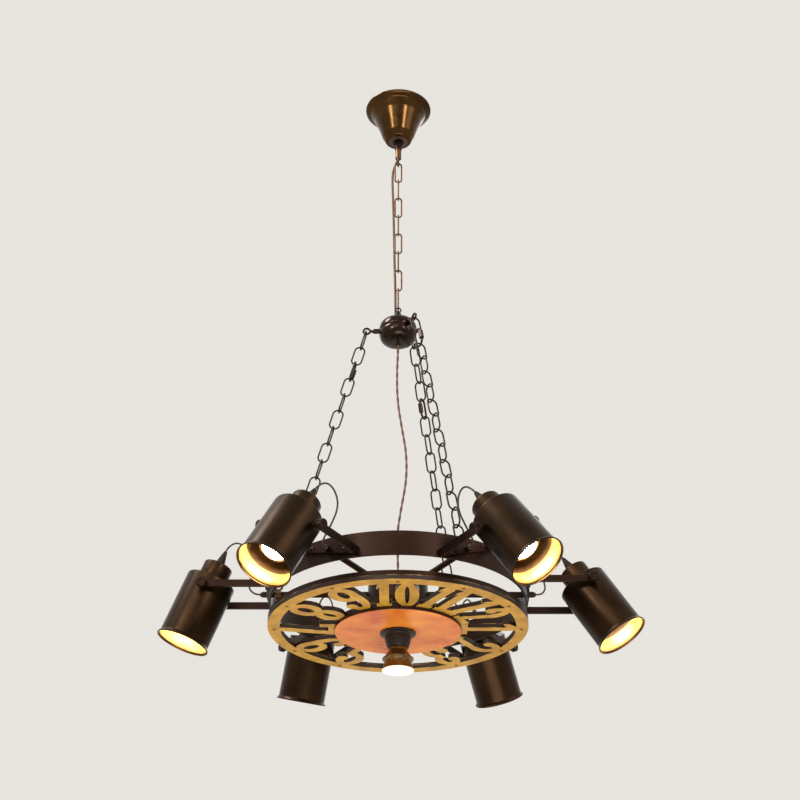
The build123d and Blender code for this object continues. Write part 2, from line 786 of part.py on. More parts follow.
def make_shade(section):
    with BuildPart() as shade:
        lip_start = shade_mouth - shade_lip_h
        for inset, mode in ((0.0, Mode.ADD), (shade_wall, Mode.SUBTRACT)):
            back = inset - shade_back
            side = shade_r - inset
            shoulder = shade_shoulder - inset
            front = shade_mouth + inset
            with BuildSketch(section):
                with BuildLine():
                    Line((0, front), (0, back))
                    Line((0, back), (side - shoulder, back))
                    RadiusArc((side - shoulder, back), (side, back + shoulder), -shoulder)
                    Line((side, back + shoulder), (side, lip_start))
                    Line((side, lip_start), (shade_lip_r - inset, shade_mouth - shade_lip_land))
                    Line((shade_lip_r - inset, shade_mouth - shade_lip_land), (shade_lip_r - inset, front))
                    Line((shade_lip_r - inset, front), (0, front))
                make_face()
            revolve(axis=Axis(section.origin, section.y_dir), mode=mode)
        with BuildSketch(Plane(origin=section.from_local_coords((0, -2 * shade_back, 0)), z_dir=section.y_dir)):
            Circle(spigot_r + seat_gap)
        extrude(amount=shade_back + shade_wall + shade_back, mode=Mode.SUBTRACT)
        with BuildSketch(Plane(origin=section.origin - section.x_dir * (2 * shade_r), z_dir=section.x_dir)):
            Circle(pivot_r + running_gap)
        extrude(amount=4 * shade_r, mode=Mode.SUBTRACT)
    return shade


def make_holder(section):
    with BuildPart() as holder:
        back_face = -shade_back - seat_gap
        inner_face = shade_wall - shade_back + seat_gap
        turn(section, ((0, back_face - neck_h), (neck_r - neck_round, back_face - neck_h),
                       (neck_r, back_face - neck_h + neck_round), (neck_r, back_face), (0, back_face)))
        turn(section, ((0, back_face), (spigot_r, back_face), (spigot_r, inner_face), (0, inner_face)))
        turn(section, ((0, inner_face), (holder_flange_r, inner_face),
                       (holder_flange_r, inner_face + holder_flange_h), (holder_r, inner_face + holder_flange_h),
                       (holder_r, holder_front), (0, holder_front)))
        turn(section, ((0, back_face - neck_h - lead_nub_h), (lead_nub_tip_r, back_face - neck_h - lead_nub_h),
                       (lead_nub_r, back_face - neck_h), (0, back_face - neck_h)))
        turn(section, ((0, holder_front - bulb_base_depth - bulb_gap), (bulb_base_r + bulb_gap,
                       holder_front - bulb_base_depth - bulb_gap),
                       (bulb_base_r + bulb_gap, holder_front), (0, holder_front)), Mode.SUBTRACT)
    return holder


def make_bulb(section):
    base = holder_front - bulb_base_depth
    rim = bulb_front - bulb_face_crown
    with BuildPart() as bulb:
        with BuildSketch(section):
            with BuildLine():
                Polyline((0, bulb_front), (0, base), (bulb_base_r, base), (bulb_base_r, holder_front + bulb_gap))
                Line((bulb_base_r, holder_front + bulb_gap), (bulb_face_r, rim - bulb_rim_h))
                Line((bulb_face_r, rim - bulb_rim_h), (bulb_face_r, rim))
                crown_r = (bulb_face_r**2 + bulb_face_crown**2) / (2 * bulb_face_crown)
                RadiusArc((bulb_face_r, rim), (0, bulb_front), -crown_r)
            make_face()
        revolve(axis=Axis(section.origin, section.y_dir))
    return bulb


for lamp_name, angle, tilt, twist in zip(lamp_names, lamp_angles, lamp_tilts, yoke_twists):
    section = lamp_section(angle, tilt, twist)
    save(make_shade(section), f"shade_{lamp_name}")
    save(make_holder(section), f"holder_{lamp_name}")
    save(make_bulb(section), f"bulb_{lamp_name}")

# Clock dial: an open plate of numerals between a ring and a middle disc, riveted to a drum
ring_inner_r = drum_r - drum_flange
numeral_h = ring_inner_r - face_centre_r + 2 * numeral_join
numeral_reach = (ring_inner_r + face_centre_r) / 2
top = numeral_h / 2
ball_r = 0.62 * numeral_thick
hour_angle = 360 / hours
quarter_turn = 360 / 4


def add_bowl(middle, half_width, half_height):
    """Add an oval stroke that is thick at its sides and thin at its top and bottom."""
    with Locations((0, middle)):
        Ellipse(half_width, half_height)
        Ellipse(half_width - numeral_thick, half_height - numeral_thin, mode=Mode.SUBTRACT)


def cut_between(x_low, x_high, y_low, y_high):
    with Locations(((x_low + x_high) / 2, (y_low + y_high) / 2)):
        Rectangle(x_high - x_low, y_high - y_low, mode=Mode.SUBTRACT)


def add_bar(x_low, x_high, y_low, y_high):
    with Locations(((x_low + x_high) / 2, (y_low + y_high) / 2)):
        Rectangle(x_high - x_low, y_high - y_low)


def add_ball_end(x, y):
    with Locations((x, y)):
        Circle(ball_r)


def draw_digit(digit, width):
    """One upright figure with thick and thin strokes, its middle at the origin."""
    half = width / 2
    thick = numeral_thick
    thin = numeral_thin
    with BuildSketch() as figure:
        if digit == 0:
            add_bowl(0, half, top)
        elif digit == 1:
            add_bar(-thick / 2, thick / 2, -top, top)
            Polygon((-thick / 2, top), (-half, top - thick), (-half, top - 1.7 * thick),
                    (-thick / 2, top - 1.2 * thick), align=None)
            add_bar(-half, half, -top, thin - top)
        elif digit == 2:
            add_bowl(0.4 * top, half, 0.6 * top)
            cut_between(-half, half, -0.2 * top, 0.12 * top)
            cut_between(-half, 0, 0, 0.4 * top)
            Polygon((half - thick, 0.2 * top), (half - 0.1 * thick, 0.2 * top), (0.9 * thick - half, -top),
                    (-half, -top), align=None)
            add_bar(-half, half, -top, 0.9 * thick - top)
            add_ball_end(ball_r - half, 0.42 * top)
        elif digit == 3:
            add_bowl(0.47 * top, 0.92 * half, 0.53 * top)
            add_bowl(-0.44 * top, half, 0.56 * top)
            cut_between(-half, -0.1 * half, -0.44 * top, 0.47 * top)
            add_ball_end(ball_r - 0.92 * half, 0.47 * top)
            add_ball_end(ball_r - half, -0.44 * top)
        elif digit == 4:
            stem = 0.3 * half
            add_bar(stem - thick / 2, stem + thick / 2, -top, top)
            Polygon((stem, top), (stem - thick / 2 - thin, top), (-half, -0.3 * top), (thin - half, -0.3 * top),
                    align=None)
            add_bar(-half, half, -0.3 * top - thin, -0.3 * top)
            add_bar(stem - thick, stem + thick, -top, thin - top)
        elif digit == 5:
            add_bowl(-0.38 * top, half, 0.62 * top)
            cut_between(-half, -0.2 * half, -0.4 * top, 0.02 * top)
            add_bar(-0.75 * half, thin - 0.75 * half, 0, top)
            add_bar(-0.75 * half, 0, 0.02 * top, 0.02 * top + thin)
            add_bar(-0.75 * half, 0.85 * half, top - 0.9 * thick, top)
            add_ball_end(ball_r - half, -0.4 * top)
        elif digit == 7:
            add_bar(-half, half, top - 0.9 * thick, top)
            add_bar(-half, thin - half, top - 1.8 * thick, top)
            Polygon((half - thick, top - 0.9 * thick), (half, top - 0.9 * thick), (0.5 * thick, -top),
                    (-0.6 * thick, -top), align=None)
        elif digit == 8:
            add_bowl(0.47 * top, 0.88 * half, 0.53 * top)
            add_bowl(-0.43 * top, half, 0.57 * top)
        else:
            add_bowl(0, half, top)
            cut_between(0, half, -0.4 * top, 0.55 * top)
            add_bowl(-0.42 * top, half, 0.58 * top)
            add_ball_end(half - 1.1 * ball_r, 0.55 * top)
    if digit == 9:
        return figure.sketch.rotate(Axis.Z, 180)
    return figure.sketch


def draw_numeral(number):
    """The figures of one hour, side by side about the origin."""
    if number < 10:
        return draw_digit(number, numeral_width)
    second_width = one_width if number == 11 else pair_width
    start = -(one_width + pair_gap + second_width) / 2
    with BuildSketch() as pair:
        with Locations((start + one_width / 2, 0)):
            add(draw_digit(1, one_width))
        with Locations((start + one_width + pair_gap + second_width / 2, 0)):
            add(draw_digit(number % 10, second_width))
    return pair.sketch


# The dial is read from below, so it is drawn on a plane that faces down
face_plane = Plane(origin=(0, 0, dial_z), x_dir=(1, 0, 0), z_dir=(0, 0, -1))
with BuildPart() as dial_face:
    with BuildSketch(face_plane):
        Circle(drum_r)
        Circle(ring_inner_r, mode=Mode.SUBTRACT)
        Circle(face_centre_r)
        for number in range(1, hours + 1):
            place = hour_angle * (1 - number)
            lean = place + quarter_turn if 4 <= number <= 8 else place - quarter_turn
            spot = outward(place) * numeral_reach
            with Locations(Location((spot.X, spot.Y, 0), (0, 0, lean))):
                add(draw_numeral(number))
        Circle(pipe_r + thread_gap, mode=Mode.SUBTRACT)
        with PolarLocations(dial_rivet_reach, hours):
            Circle(dial_rivet_shank_r + thread_gap, mode=Mode.SUBTRACT)
    extrude(amount=-face_thick)
save(dial_face, "dial_face")

drum_bottom = dial_z + face_thick
with BuildPart() as dial_drum:
    with BuildSketch(Plane.XY.offset(drum_bottom)):
        Circle(drum_r)
        Circle(ring_inner_r, mode=Mode.SUBTRACT)
        with PolarLocations(dial_rivet_reach, hours):
            Circle(dial_rivet_shank_r + thread_gap, mode=Mode.SUBTRACT)
    extrude(amount=drum_flange_thick)
    with BuildSketch(Plane.XY.offset(drum_bottom)):
        Circle(drum_r)
        Circle(drum_r - drum_wall, mode=Mode.SUBTRACT)
    extrude(amount=drum_h)
save(dial_drum, "dial_drum")

with BuildPart() as dial_rivets:
    rivet_span = face_thick + drum_flange_thick
    for head_z, radius, height in (
        (dial_z, dial_rivet_head_r, -dial_rivet_head_h),
        (dial_z, dial_rivet_shank_r, rivet_span),
        (dial_z + rivet_span, dial_rivet_head_r, dial_rivet_head_h),
    ):
        with BuildSketch(Plane.XY.offset(head_z)):
            with PolarLocations(dial_rivet_reach, hours):
                Circle(radius)
        extrude(amount=height)
save(dial_rivets, "dial_rivets")

with BuildPart() as centre_disc:
    with BuildSketch(Plane.XY.offset(dial_z)):
        Circle(disc_r)
        Circle(pipe_r + thread_gap, mode=Mode.SUBTRACT)
    extrude(amount=-disc_thick)
    fillet(centre_disc.faces().sort_by(Axis.Z)[0].outer_wire().edges(), disc_thick / 4)
save(centre_disc, "centre_disc")

# Centre lamp, on a pipe from the junction box
socket_top = dial_z - disc_thick
socket_bottom = socket_top - socket_h
pipe_bottom = socket_top - socket_thread_h
pipe_top = box_bottom + box_wall + pipe_nut_thick + pipe_top_lift

with BuildPart() as lamp_pipe:
    with BuildSketch(Plane.XY.offset(pipe_bottom)):
        Circle(pipe_r)
        Circle(pipe_bore_r, mode=Mode.SUBTRACT)
    extrude(amount=pipe_top - pipe_bottom)
save(lamp_pipe, "lamp_pipe")

with BuildPart() as pipe_nuts:
    for nut_z in (box_bottom + box_wall, box_bottom - pipe_nut_thick, dial_z + face_thick):
        with BuildSketch(Plane.XY.offset(nut_z)):
            RegularPolygon(pipe_nut_flats / 2, 6, major_radius=False)
            Circle(pipe_r + thread_gap, mode=Mode.SUBTRACT)
        extrude(amount=pipe_nut_thick)
save(pipe_nuts, "pipe_nuts")

with BuildPart() as centre_socket:
    with BuildSketch(Plane.XY.offset(socket_top)):
        Circle(socket_flange_r)
    extrude(amount=-socket_flange_h)
    with BuildSketch(Plane.XY.offset(socket_top)):
        Circle(socket_r)
    extrude(amount=-socket_h)
    cut_upright_hole(pipe_r + thread_gap, 0, 0, pipe_bottom, socket_top)
    cut_upright_hole(centre_bulb_base_r + bulb_gap, 0, 0, socket_bottom, socket_bottom + socket_bore_h)
save(centre_socket, "centre_socket")

with BuildPart() as centre_bulb:
    neck_z = socket_bottom - bulb_gap
    base_z = socket_bottom + socket_bore_h - bulb_gap
    face_z = dial_z - centre_bulb_drop
    shoulder_z = dial_z - centre_bulb_shoulder_drop
    crown_r = (centre_bulb_r**2 + centre_bulb_crown**2) / (2 * centre_bulb_crown)
    with BuildSketch(Plane.XZ):
        with BuildLine():
            Polyline((0, face_z), (0, base_z), (centre_bulb_base_r, base_z), (centre_bulb_base_r, neck_z),
                     (centre_bulb_neck_r, neck_z), (centre_bulb_neck_r, dial_z - centre_bulb_neck_drop),
                     (centre_bulb_shoulder_r, shoulder_z), (centre_bulb_r, face_z + centre_bulb_crown))
            RadiusArc((centre_bulb_r, face_z + centre_bulb_crown), (0, face_z), crown_r)
        make_face()
    revolve(axis=Axis.Z)
save(centre_bulb, "centre_bulb")

# Cords: the supply cord beside the upper chain, the drop cord to the junction box, and a lead to each lamp
with BuildPart() as supply_cord:
    add_cord(supply_cord_points, supply_cord_d)
save(supply_cord, "supply_cord")

with BuildPart() as drop_cord:
    add_cord(drop_cord_points, supply_cord_d)
save(drop_cord, "drop_cord")

nub_end = -shade_back - seat_gap - neck_h - lead_nub_h
with BuildPart() as lamp_leads:
    for angle, tilt, twist, route in zip(lamp_angles, lamp_tilts, yoke_twists, lead_points):
        section = lamp_section(angle, tilt, twist)
        risen = [section.from_local_coords((0, along, 0)) for along in (nub_end, nub_end - lead_rise)]
        hung = [around(reach, angle, wheel_z + height, side) for reach, side, height in route + lead_entry_points]
        add_cord(risen + hung, lead_d)
save(lamp_leads, "lamp_leads")
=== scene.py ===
"""Looks of the wagon wheel chandelier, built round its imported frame.

Metres, +Z up, the ceiling at z = 0.
"""
import json
from math import cos, pi, radians, sin, tan

import bmesh
import bpy
from mathutils import Matrix, Vector


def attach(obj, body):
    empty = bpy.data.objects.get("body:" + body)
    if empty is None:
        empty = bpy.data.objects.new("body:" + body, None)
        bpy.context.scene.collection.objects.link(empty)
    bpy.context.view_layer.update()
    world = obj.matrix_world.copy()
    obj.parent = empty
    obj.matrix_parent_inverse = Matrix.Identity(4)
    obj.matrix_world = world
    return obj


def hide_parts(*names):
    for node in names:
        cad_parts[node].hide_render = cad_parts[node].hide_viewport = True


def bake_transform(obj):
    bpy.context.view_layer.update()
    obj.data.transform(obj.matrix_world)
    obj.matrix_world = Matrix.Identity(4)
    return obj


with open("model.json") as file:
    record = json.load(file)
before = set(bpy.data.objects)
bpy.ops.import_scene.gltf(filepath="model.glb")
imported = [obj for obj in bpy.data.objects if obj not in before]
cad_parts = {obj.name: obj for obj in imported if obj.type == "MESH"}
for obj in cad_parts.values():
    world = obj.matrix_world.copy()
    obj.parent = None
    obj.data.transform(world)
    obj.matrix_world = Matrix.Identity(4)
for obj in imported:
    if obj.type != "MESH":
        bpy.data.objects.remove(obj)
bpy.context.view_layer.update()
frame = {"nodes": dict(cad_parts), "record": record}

mm = 0.001

# Camera, as the photograph was taken: below the lamp, looking up at it
camera_place = (0.0033, -2.315, -1.981)
camera_pitch = 29.5
focal_pixels = 1482.0
picture_pixels = 800.0
sensor_width = 36.0

# Room
floor_z = -2.9
floor_size = 26.0
floor_near = 0.8
floor_far = 3.0
floor_colour = "#E4E0DA"
backdrop_colour = "#E8E4DE"
lamp_middle = (0, 0, -0.9)

# Places in the frame
hub_z = -526 * mm
ball_z = -527 * mm
finial_z = -501 * mm
finial_ring_z = finial_z + 21 * mm
wheel_z = -1045 * mm
dial_z = -1106 * mm
lamp_names = ("right", "back_right", "back_left", "left", "front_left", "front_right")
lamp_angles = (0.0, 60.0, 120.0, 180.0, 240.0, 300.0)
lamp_tilts = (30.0, 33.0, 20.5, 21.0, 28.0, 32.0)
yoke_twists = (-10.0, 0.0, 0.0, 0.0, -12.0, 18.0)
pivot_reach = 322 * mm
leg_outside = 52 * mm
rim_r = 215 * mm
yoke_face = 219.1 * mm
yoke_rivet_angle = 8.0
chain_names = ("left", "front", "back")
chain_angles = (180.0, 300.0, 60.0)
eye_reach = 58 * mm
hours = 12
dial_rivet_reach = 204 * mm

# Sizes of the turned pieces, in millimetres
shade_r = 42.0
shade_wall = 1.5
shade_back = 25.0
shade_hole_r = 13.1
shade_mouth = 91.0
flare_depth = 6.0
lip_r = 45.0
lip_height = 2.0
lip_edge = 3.5
lip_inset = 1.1
glow_depth = 25.0
neck_r = 25.0
neck_start = -25.1
neck_end = -55.1
neck_groove_r = 22.0
neck_groove = 2.2
nub_end = -83.1
nub_ribs = 7
nub_r = 9.0
nub_tip_r = 2.7
rib_dip = 0.7
bulb_r = 24.5
bulb_rim = 58.0
bulb_crown = 3.0
bulb_foot = -14.0
lens_r = 20.5
shank_length = 16.2
knob_r = 9.0
knob_height = 10.0
yoke_rivet_r = 4.5
yoke_rivet_head = 2.5
yoke_rivet_gap = 0.1
dial_rivet_r = 3.5
dial_rivet_head = 1.5
centre_lens_r = 26.0
centre_lens_start = 71.0
ball_r = 35.0
ball_top = 25.0
ball_bottom = 27.0
ball_wall = 1.5
ball_squareness = 3.0
ball_groove_half = 0.25
ball_groove_depth = 0.9
finial_ring_r = 5.0
finial_wire_r = 1.25
eye_r = 6.0
eye_wire_r = 2.0
arc_steps = 5
sharp_angle = 32.0

# Cord routes, in millimetres. The leads' points are reach, side and height about the wheel's middle
cord_width = 4.5 * mm
cord_lay = 34 * mm
cord_waist = 0.2
lead_width = 3.0 * mm
lead_rise = 10.0
meeting_z = -160 * mm
supply_route = (
    (0, 0, -109), (0, 0, -120.5), (-4, 3, -132), (-8.5, 5, -143.5), (-11, 4.5, -158),
    (-11.5, 3.5, -178), (-10.5, 3, -212), (-9, 3.5, -262), (-8, 5, -318), (-7, 6, -374),
    (-5.5, 7, -425), (-5.2, 7.2, -462), (-5, 7, -492), (-5, 7, -522),
)
drop_route = (
    (0, 0, -530), (0, 0, -566), (-2.5, 1, -618), (-1, 1.5, -676), (7, 1, -730), (15, 0, -782),
    (14.5, -1, -834), (5.5, -1, -885), (-2, 0, -936), (0, 0.5, -986), (0, 0, -1034),
)
lead_routes = (
    ((262, 14, 87), (248, 12, 73), (241, 8, 43), (248, 3, 14), (242, 1, 2.5)),
    ((257, 3, 83), (244, 6, 69), (241, 6, 42), (248, 3, 14), (242, 1, 2.5)),
    ((279, -4, 96), (260, -7, 86), (248, -8, 58), (247, -6, 30), (250, -3, 12), (243, -1, 3)),
    ((274, 4, 94), (256, 7, 83), (245, 8, 56), (246, 6, 28), (250, 3, 11), (243, 1, 3)),
    ((265, 26, 90), (251, 33, 78), (243, 34, 54), (246, 22, 23), (243, 6, 4.5)),
    ((262, -33, 83), (248, -35, 72), (241, -31, 50), (245, -19, 22), (242.5, -5, 4)),
)
lead_entry = ((234.5, 0, 0), (227, 0, 0))


def linear(hex_code):
    """Linear red, green, blue and alpha of an sRGB hex colour."""
    channels = [int(hex_code[i:i + 2], 16) / 255 for i in (1, 3, 5)]
    return (*[c / 12.92 if c <= 0.04045 else ((c + 0.055) / 1.055) ** 2.4 for c in channels], 1.0)


def add_node(tree, kind, inputs=None, **settings):
    """Add a shader node. Inputs maps a socket's name or number to a value, or to its source."""
    made = tree.nodes.new("ShaderNode" + kind)
    for name, value in settings.items():
        setattr(made, name, value)
    for name, value in (inputs or {}).items():
        if isinstance(value, bpy.types.NodeSocket):
            tree.links.new(value, made.inputs[name])
        else:
            made.inputs[name].default_value = value
    return made


def new_material(name):
    material = bpy.data.materials.new(name)
    material.use_nodes = True
    tree = material.node_tree
    tree.nodes.clear()
    return material, tree


def finish_material(material, tree, shader):
    output = add_node(tree, "OutputMaterial")
    tree.links.new(shader.outputs[0], output.inputs["Surface"])
    return material


def own_place(tree):
    """Place on a piece, in the piece's own axes."""
    return add_node(tree, "TexCoord").outputs["Object"]


def combined(tree, operation, first, second):
    """Result of one step of arithmetic."""
    return add_node(tree, "Math", {0: first, 1: second}, operation=operation).outputs[0]


def spread(tree, value, start, end, **settings):
    """Nought at the start of a range of values and one at its end."""
    inputs = {"Value": value, "From Min": start, "From Max": end}
    return add_node(tree, "MapRange", inputs, **settings).outputs["Result"]


def blotches(tree, place, size_mm, detail, roughness=0.5):
    """Soft noise with patches of about a size."""
    inputs = {"Vector": place, "Scale": 1 / (size_mm * mm), "Detail": detail, "Roughness": roughness}
    return add_node(tree, "TexNoise", inputs).outputs["Fac"]


def raised(tree, height, strength, depth_mm):
    """Normal of a surface that a height roughens."""
    inputs = {"Height": height, "Strength": strength, "Distance": depth_mm * mm}
    return add_node(tree, "Bump", inputs).outputs["Normal"]


def from_axis(tree, place):
    """Distance of a place from the z axis."""
    across = add_node(tree, "VectorMath", {0: place, 1: (1, 1, 0)}, operation="MULTIPLY")
    return add_node(tree, "VectorMath", {0: across.outputs[0]}, operation="LENGTH").outputs["Value"]


def mixed_tone(tree, factor, first, second):
    """Colour that goes from the first to the second with a factor."""
    return add_node(tree, "Mix", {0: factor, 6: first, 7: second}, data_type="RGBA").outputs[2]


def two_tones(tree, factor, low, high, start=0.32, end=0.70):
    """Colour that runs from one hex tone to another along a factor."""
    ramp = add_node(tree, "ValToRGB", {"Fac": factor})
    for element, position, tone in zip(ramp.color_ramp.elements, (start, end), (low, high)):
        element.position = position
        element.color = linear(tone)
    return ramp.outputs["Color"]


def edge_mask(tree, width_mm, patches):
    """Worn edges: where a rounded normal leaves the true one, broken up by the paint's patches."""
    soft = add_node(tree, "Bevel", {"Radius": width_mm * mm}, samples=6)
    true = add_node(tree, "NewGeometry")
    alike = add_node(
        tree, "VectorMath", {0: soft.outputs[0], 1: true.outputs["Normal"]}, operation="DOT_PRODUCT")
    edge = spread(tree, alike.outputs["Value"], 0.99, 0.86)
    broken = spread(tree, patches, 0.45, 0.6)
    return combined(tree, "MULTIPLY", edge, broken)


def painted_metal(name, low, high, patch_mm, grain_mm, roughness, metallic=0.0, bump=0.15, coat=0.0,
                  specular=0.5, worn=None, painted_wall_shade=None):
    """Paint or lacquer on metal: two near tones in soft patches, the fine grain that spraying
    leaves, and, where given, worn edges and painted shade, a darker tone on upright walls."""
    material, tree = new_material(name)
    place = own_place(tree)
    patches = blotches(tree, place, patch_mm, 5.0, 0.6)
    colour = two_tones(tree, patches, low, high)
    # Painted shade: upright walls take a darker tone than flat faces
    if painted_wall_shade:
        true = add_node(tree, "NewGeometry")
        parts = add_node(tree, "SeparateXYZ", {0: true.outputs["Normal"]})
        level = add_node(tree, "Math", {0: parts.outputs["Z"]}, operation="ABSOLUTE")
        flat = spread(tree, level.outputs[0], 0.55, 0.85)
        colour = mixed_tone(tree, flat, linear(painted_wall_shade), colour)
    if worn:
        edge = edge_mask(tree, 1.2, patches)
        colour = mixed_tone(tree, edge, colour, linear(worn))
    grain = blotches(tree, place, grain_mm, 3.0)
    sheen = add_node(tree, "MapRange", {
        "Value": patches, "To Min": roughness - 0.07, "To Max": roughness + 0.09})
    shader = add_node(tree, "BsdfPrincipled", {
        "Base Color": colour, "Roughness": sheen.outputs["Result"], "Metallic": metallic,
        "Normal": raised(tree, grain, bump, 0.2), "Coat Weight": coat, "Coat Roughness": 0.1,
        "Specular IOR Level": specular})
    return finish_material(material, tree, shader)


# Dark lacquered bronze: warm brown, with long clear highlights down the canopy
bronze = painted_metal(
    "antique bronze lacquer", "#3A2613", "#4E371D", 40, 3.0, 0.2, metallic=1.0, bump=0.015)
# Plated chain: mid brown above, nearly black below, each link with a small bright glint
chain_bronze = painted_metal(
    "bronze plated steel", "#4A331E", "#6B4C2C", 14, 0.6, 0.36, metallic=0.8, bump=0.12)
chain_black = painted_metal(
    "black oxide steel", "#221710", "#3A291C", 14, 0.6, 0.34, metallic=0.7, bump=0.12)
# Ball hub: very dark brown gloss that mirrors the room
hub_lacquer = painted_metal(
    "dark bronze lacquer", "#20130A", "#2E1C10", 30, 3.0, 0.2, metallic=0.9, bump=0.015, coat=0.15)
# Wheel and yokes: dull brown black iron paint, rubbed to brown along its edges
iron_paint = painted_metal(
    "dark iron paint", "#21130B", "#2F1C12", 60, 0.9, 0.42, metallic=0.9, bump=0.2, worn="#5A3A26")
# Cans outside: brown black stove paint with a soft stripe of light
shade_paint = painted_metal(
    "brown black stove paint", "#26180B", "#352413", 50, 0.7, 0.32, metallic=0.93, bump=0.1)
# Cans inside: gold lacquer that glows at the mouth, in the bulb's light, with a darker lacquer behind it as
# painted shade where that light does not reach
gold_lacquer = painted_metal(
    "gold lacquer", "#A07C3A", "#BC9A58", 25, 0.9, 0.42, metallic=0.2, bump=0.1)
# Painted shade: the back of each can's inside, darker than the gold where the bulb's light does not reach
painted_shade_lacquer = painted_metal(
    "painted shade lacquer", "#432C12", "#5E421E", 25, 0.9, 0.5, metallic=0.2, bump=0.1)
# Dial: aged gold paint on the face, with painted shade on the plate's upright walls beside it
gold_paint = painted_metal(
    "aged gold paint", "#A3731A", "#D09C34", 28, 1.2, 0.42, metallic=0.3, bump=0.2, specular=0.35,
    worn="#DDB766", painted_wall_shade="#2B1A0B")
# Middle disc: glossy weathered orange enamel, with painted shade on its edge
orange_enamel = painted_metal(
    "weathered orange enamel", "#B34A16", "#E28B34", 70, 2.0, 0.28, bump=0.05, specular=0.25,
    painted_wall_shade="#2A1408")
rivet_brass = painted_metal("dull brass", "#6E5220", "#8E6C2E", 6, 0.6, 0.4, metallic=0.8)
zinc = painted_metal("zinc plated steel", "#8C8C8A", "#B4B4B0", 10, 0.6, 0.34, metallic=1.0)
# Sockets: black moulded resin with a dull gloss
bakelite = painted_metal(
    "black bakelite", "#180F0A", "#261912", 20, 0.8, 0.4, bump=0.08, specular=0.25)
# Strain reliefs and bushes: dull dark brown rubber
rubber = painted_metal("dark brown rubber", "#20130D", "#301E15", 8, 0.5, 0.6, specular=0.3)
# Reflector bulbs: brown amber glass round a bright lens
amber_glass = painted_metal(
    "amber glass", "#4A3414", "#7C5A22", 18, 1.0, 0.2, metallic=0.5, bump=0.03, coat=0.3)


def lit_lens(name, rim_mm, rim_tone, strength, clear_share=0.75):
    """Frosted lens with the lamp burning behind it: warm white, and darker towards its rim."""
    material, tree = new_material(name)
    place = own_place(tree)
    frosting = blotches(tree, place, 1.5, 2.0)
    rim = spread(tree, from_axis(tree, place), rim_mm * clear_share * mm, rim_mm * mm)
    shader = add_node(tree, "BsdfPrincipled", {
        "Base Color": linear("#F4EAD6"), "Roughness": 0.3, "Normal": raised(tree, frosting, 0.3, 0.2),
        "Emission Color": two_tones(tree, rim, "#FFEAC4", rim_tone, 0.0, 0.8),
        "Emission Strength": strength})
    return finish_material(material, tree, shader)


lens_glass = lit_lens("lit frosted glass", lens_r, "#2A1203", 125.0)
centre_lens_glass = lit_lens(
    "lit frosted glass of the centre bulb", centre_lens_r, "#7C5E30", 4.0)


def braided(name, low, high, strand_mm, girth):
    """Textile cord: two sets of slanting strands that cross, in a dull weave. The strands are
    about twice as wide as real ones, so that they show."""
    material, tree = new_material(name)
    run = add_node(tree, "UVMap", uv_map="along").outputs[0]
    weave = []
    for slant in (-40, 40):
        turned_run = add_node(tree, "Mapping", {
            "Vector": run, "Scale": (girth, 1, 1), "Rotation": (0, 0, radians(slant))},
            vector_type="POINT")
        strand = add_node(tree, "TexWave", {
            "Vector": turned_run.outputs[0], "Scale": pi / 10 / (strand_mm * mm), "Distortion": 0.4})
        weave.append(strand.outputs["Fac"])
    strands = combined(tree, "MAXIMUM", weave[0], weave[1])
    shader = add_node(tree, "BsdfPrincipled", {
        "Base Color": two_tones(tree, strands, low, high, 0.1, 0.9), "Roughness": 0.6,
        "Normal": raised(tree, strands, 0.6, 0.3)})
    return finish_material(material, tree, shader)


cord_braid = braided("brown braided cotton", "#2E1B10", "#6B4930", 1.2, pi * cord_width)
lead_braid = braided("black braided cotton", "#140E0B", "#33251C", 1.0, pi * lead_width)

finishes = {
    "bronze": bronze, "chain_metal": chain_bronze, "iron_paint": iron_paint,
    "shade_paint": shade_paint, "gold_enamel": gold_paint, "orange_enamel": orange_enamel,
    "rivet_brass": rivet_brass, "zinc_steel": zinc, "bakelite": bakelite, "bush_rubber": rubber,
    "cord_sheath": cord_braid, "bulb_glass": amber_glass,
}
black_nodes = ("chain_left", "chain_front", "chain_back", "quick_links", "quick_link_nuts")
for part in frame["record"]["subparts"]:
    node_mesh = frame["nodes"][part["node"]].data
    finish = chain_black if part["node"] in black_nodes else finishes[part["material_slot"]]
    node_mesh.materials.clear()
    node_mesh.materials.append(finish)


up = Vector((0, 0, 1))
down = -up


def outward(angle):
    return Vector((cos(radians(angle)), sin(radians(angle)), 0))


def sideways(angle):
    return Vector((-sin(radians(angle)), cos(radians(angle)), 0))


def around(reach, angle, height, side=0.0):
    return outward(angle) * reach + sideways(angle) * side + Vector((0, 0, height))


def pivot_line(angle, twist):
    """Unit vector along a lamp's pivot, which leans where its yoke is turned."""
    return sideways(angle) * cos(radians(twist)) + up * sin(radians(twist))


def aim_of(angle, tilt, twist):
    """Unit vector along a lamp, from its pivot to its mouth."""
    hang = pivot_line(angle, twist).cross(outward(angle))
    return outward(angle) * sin(radians(tilt)) + hang * cos(radians(tilt))


def frame_along(origin, direction):
    """Place of a turned piece: its own z runs along a direction from an origin."""
    return Matrix.Translation(origin) @ direction.to_track_quat("Z", "Y").to_matrix().to_4x4()


def rounded(*corners):
    """Outline through corners of radius, height and rounding, with an arc at each rounded one."""
    outline = []
    for i, (radius, height, rounding) in enumerate(corners):
        corner = Vector((radius, height))
        if not rounding:
            outline.append(corner)
            continue
        back = (Vector(corners[i - 1][:2]) - corner).normalized()
        ahead = (Vector(corners[i + 1][:2]) - corner).normalized()
        half = back.angle(ahead) / 2
        middle = corner + (back + ahead).normalized() * rounding / sin(half)
        first = corner + back * rounding / tan(half) - middle
        last = corner + ahead * rounding / tan(half) - middle
        for k in range(arc_steps + 1):
            outline.append(middle + first.lerp(last, k / arc_steps).normalized() * rounding)
    return outline


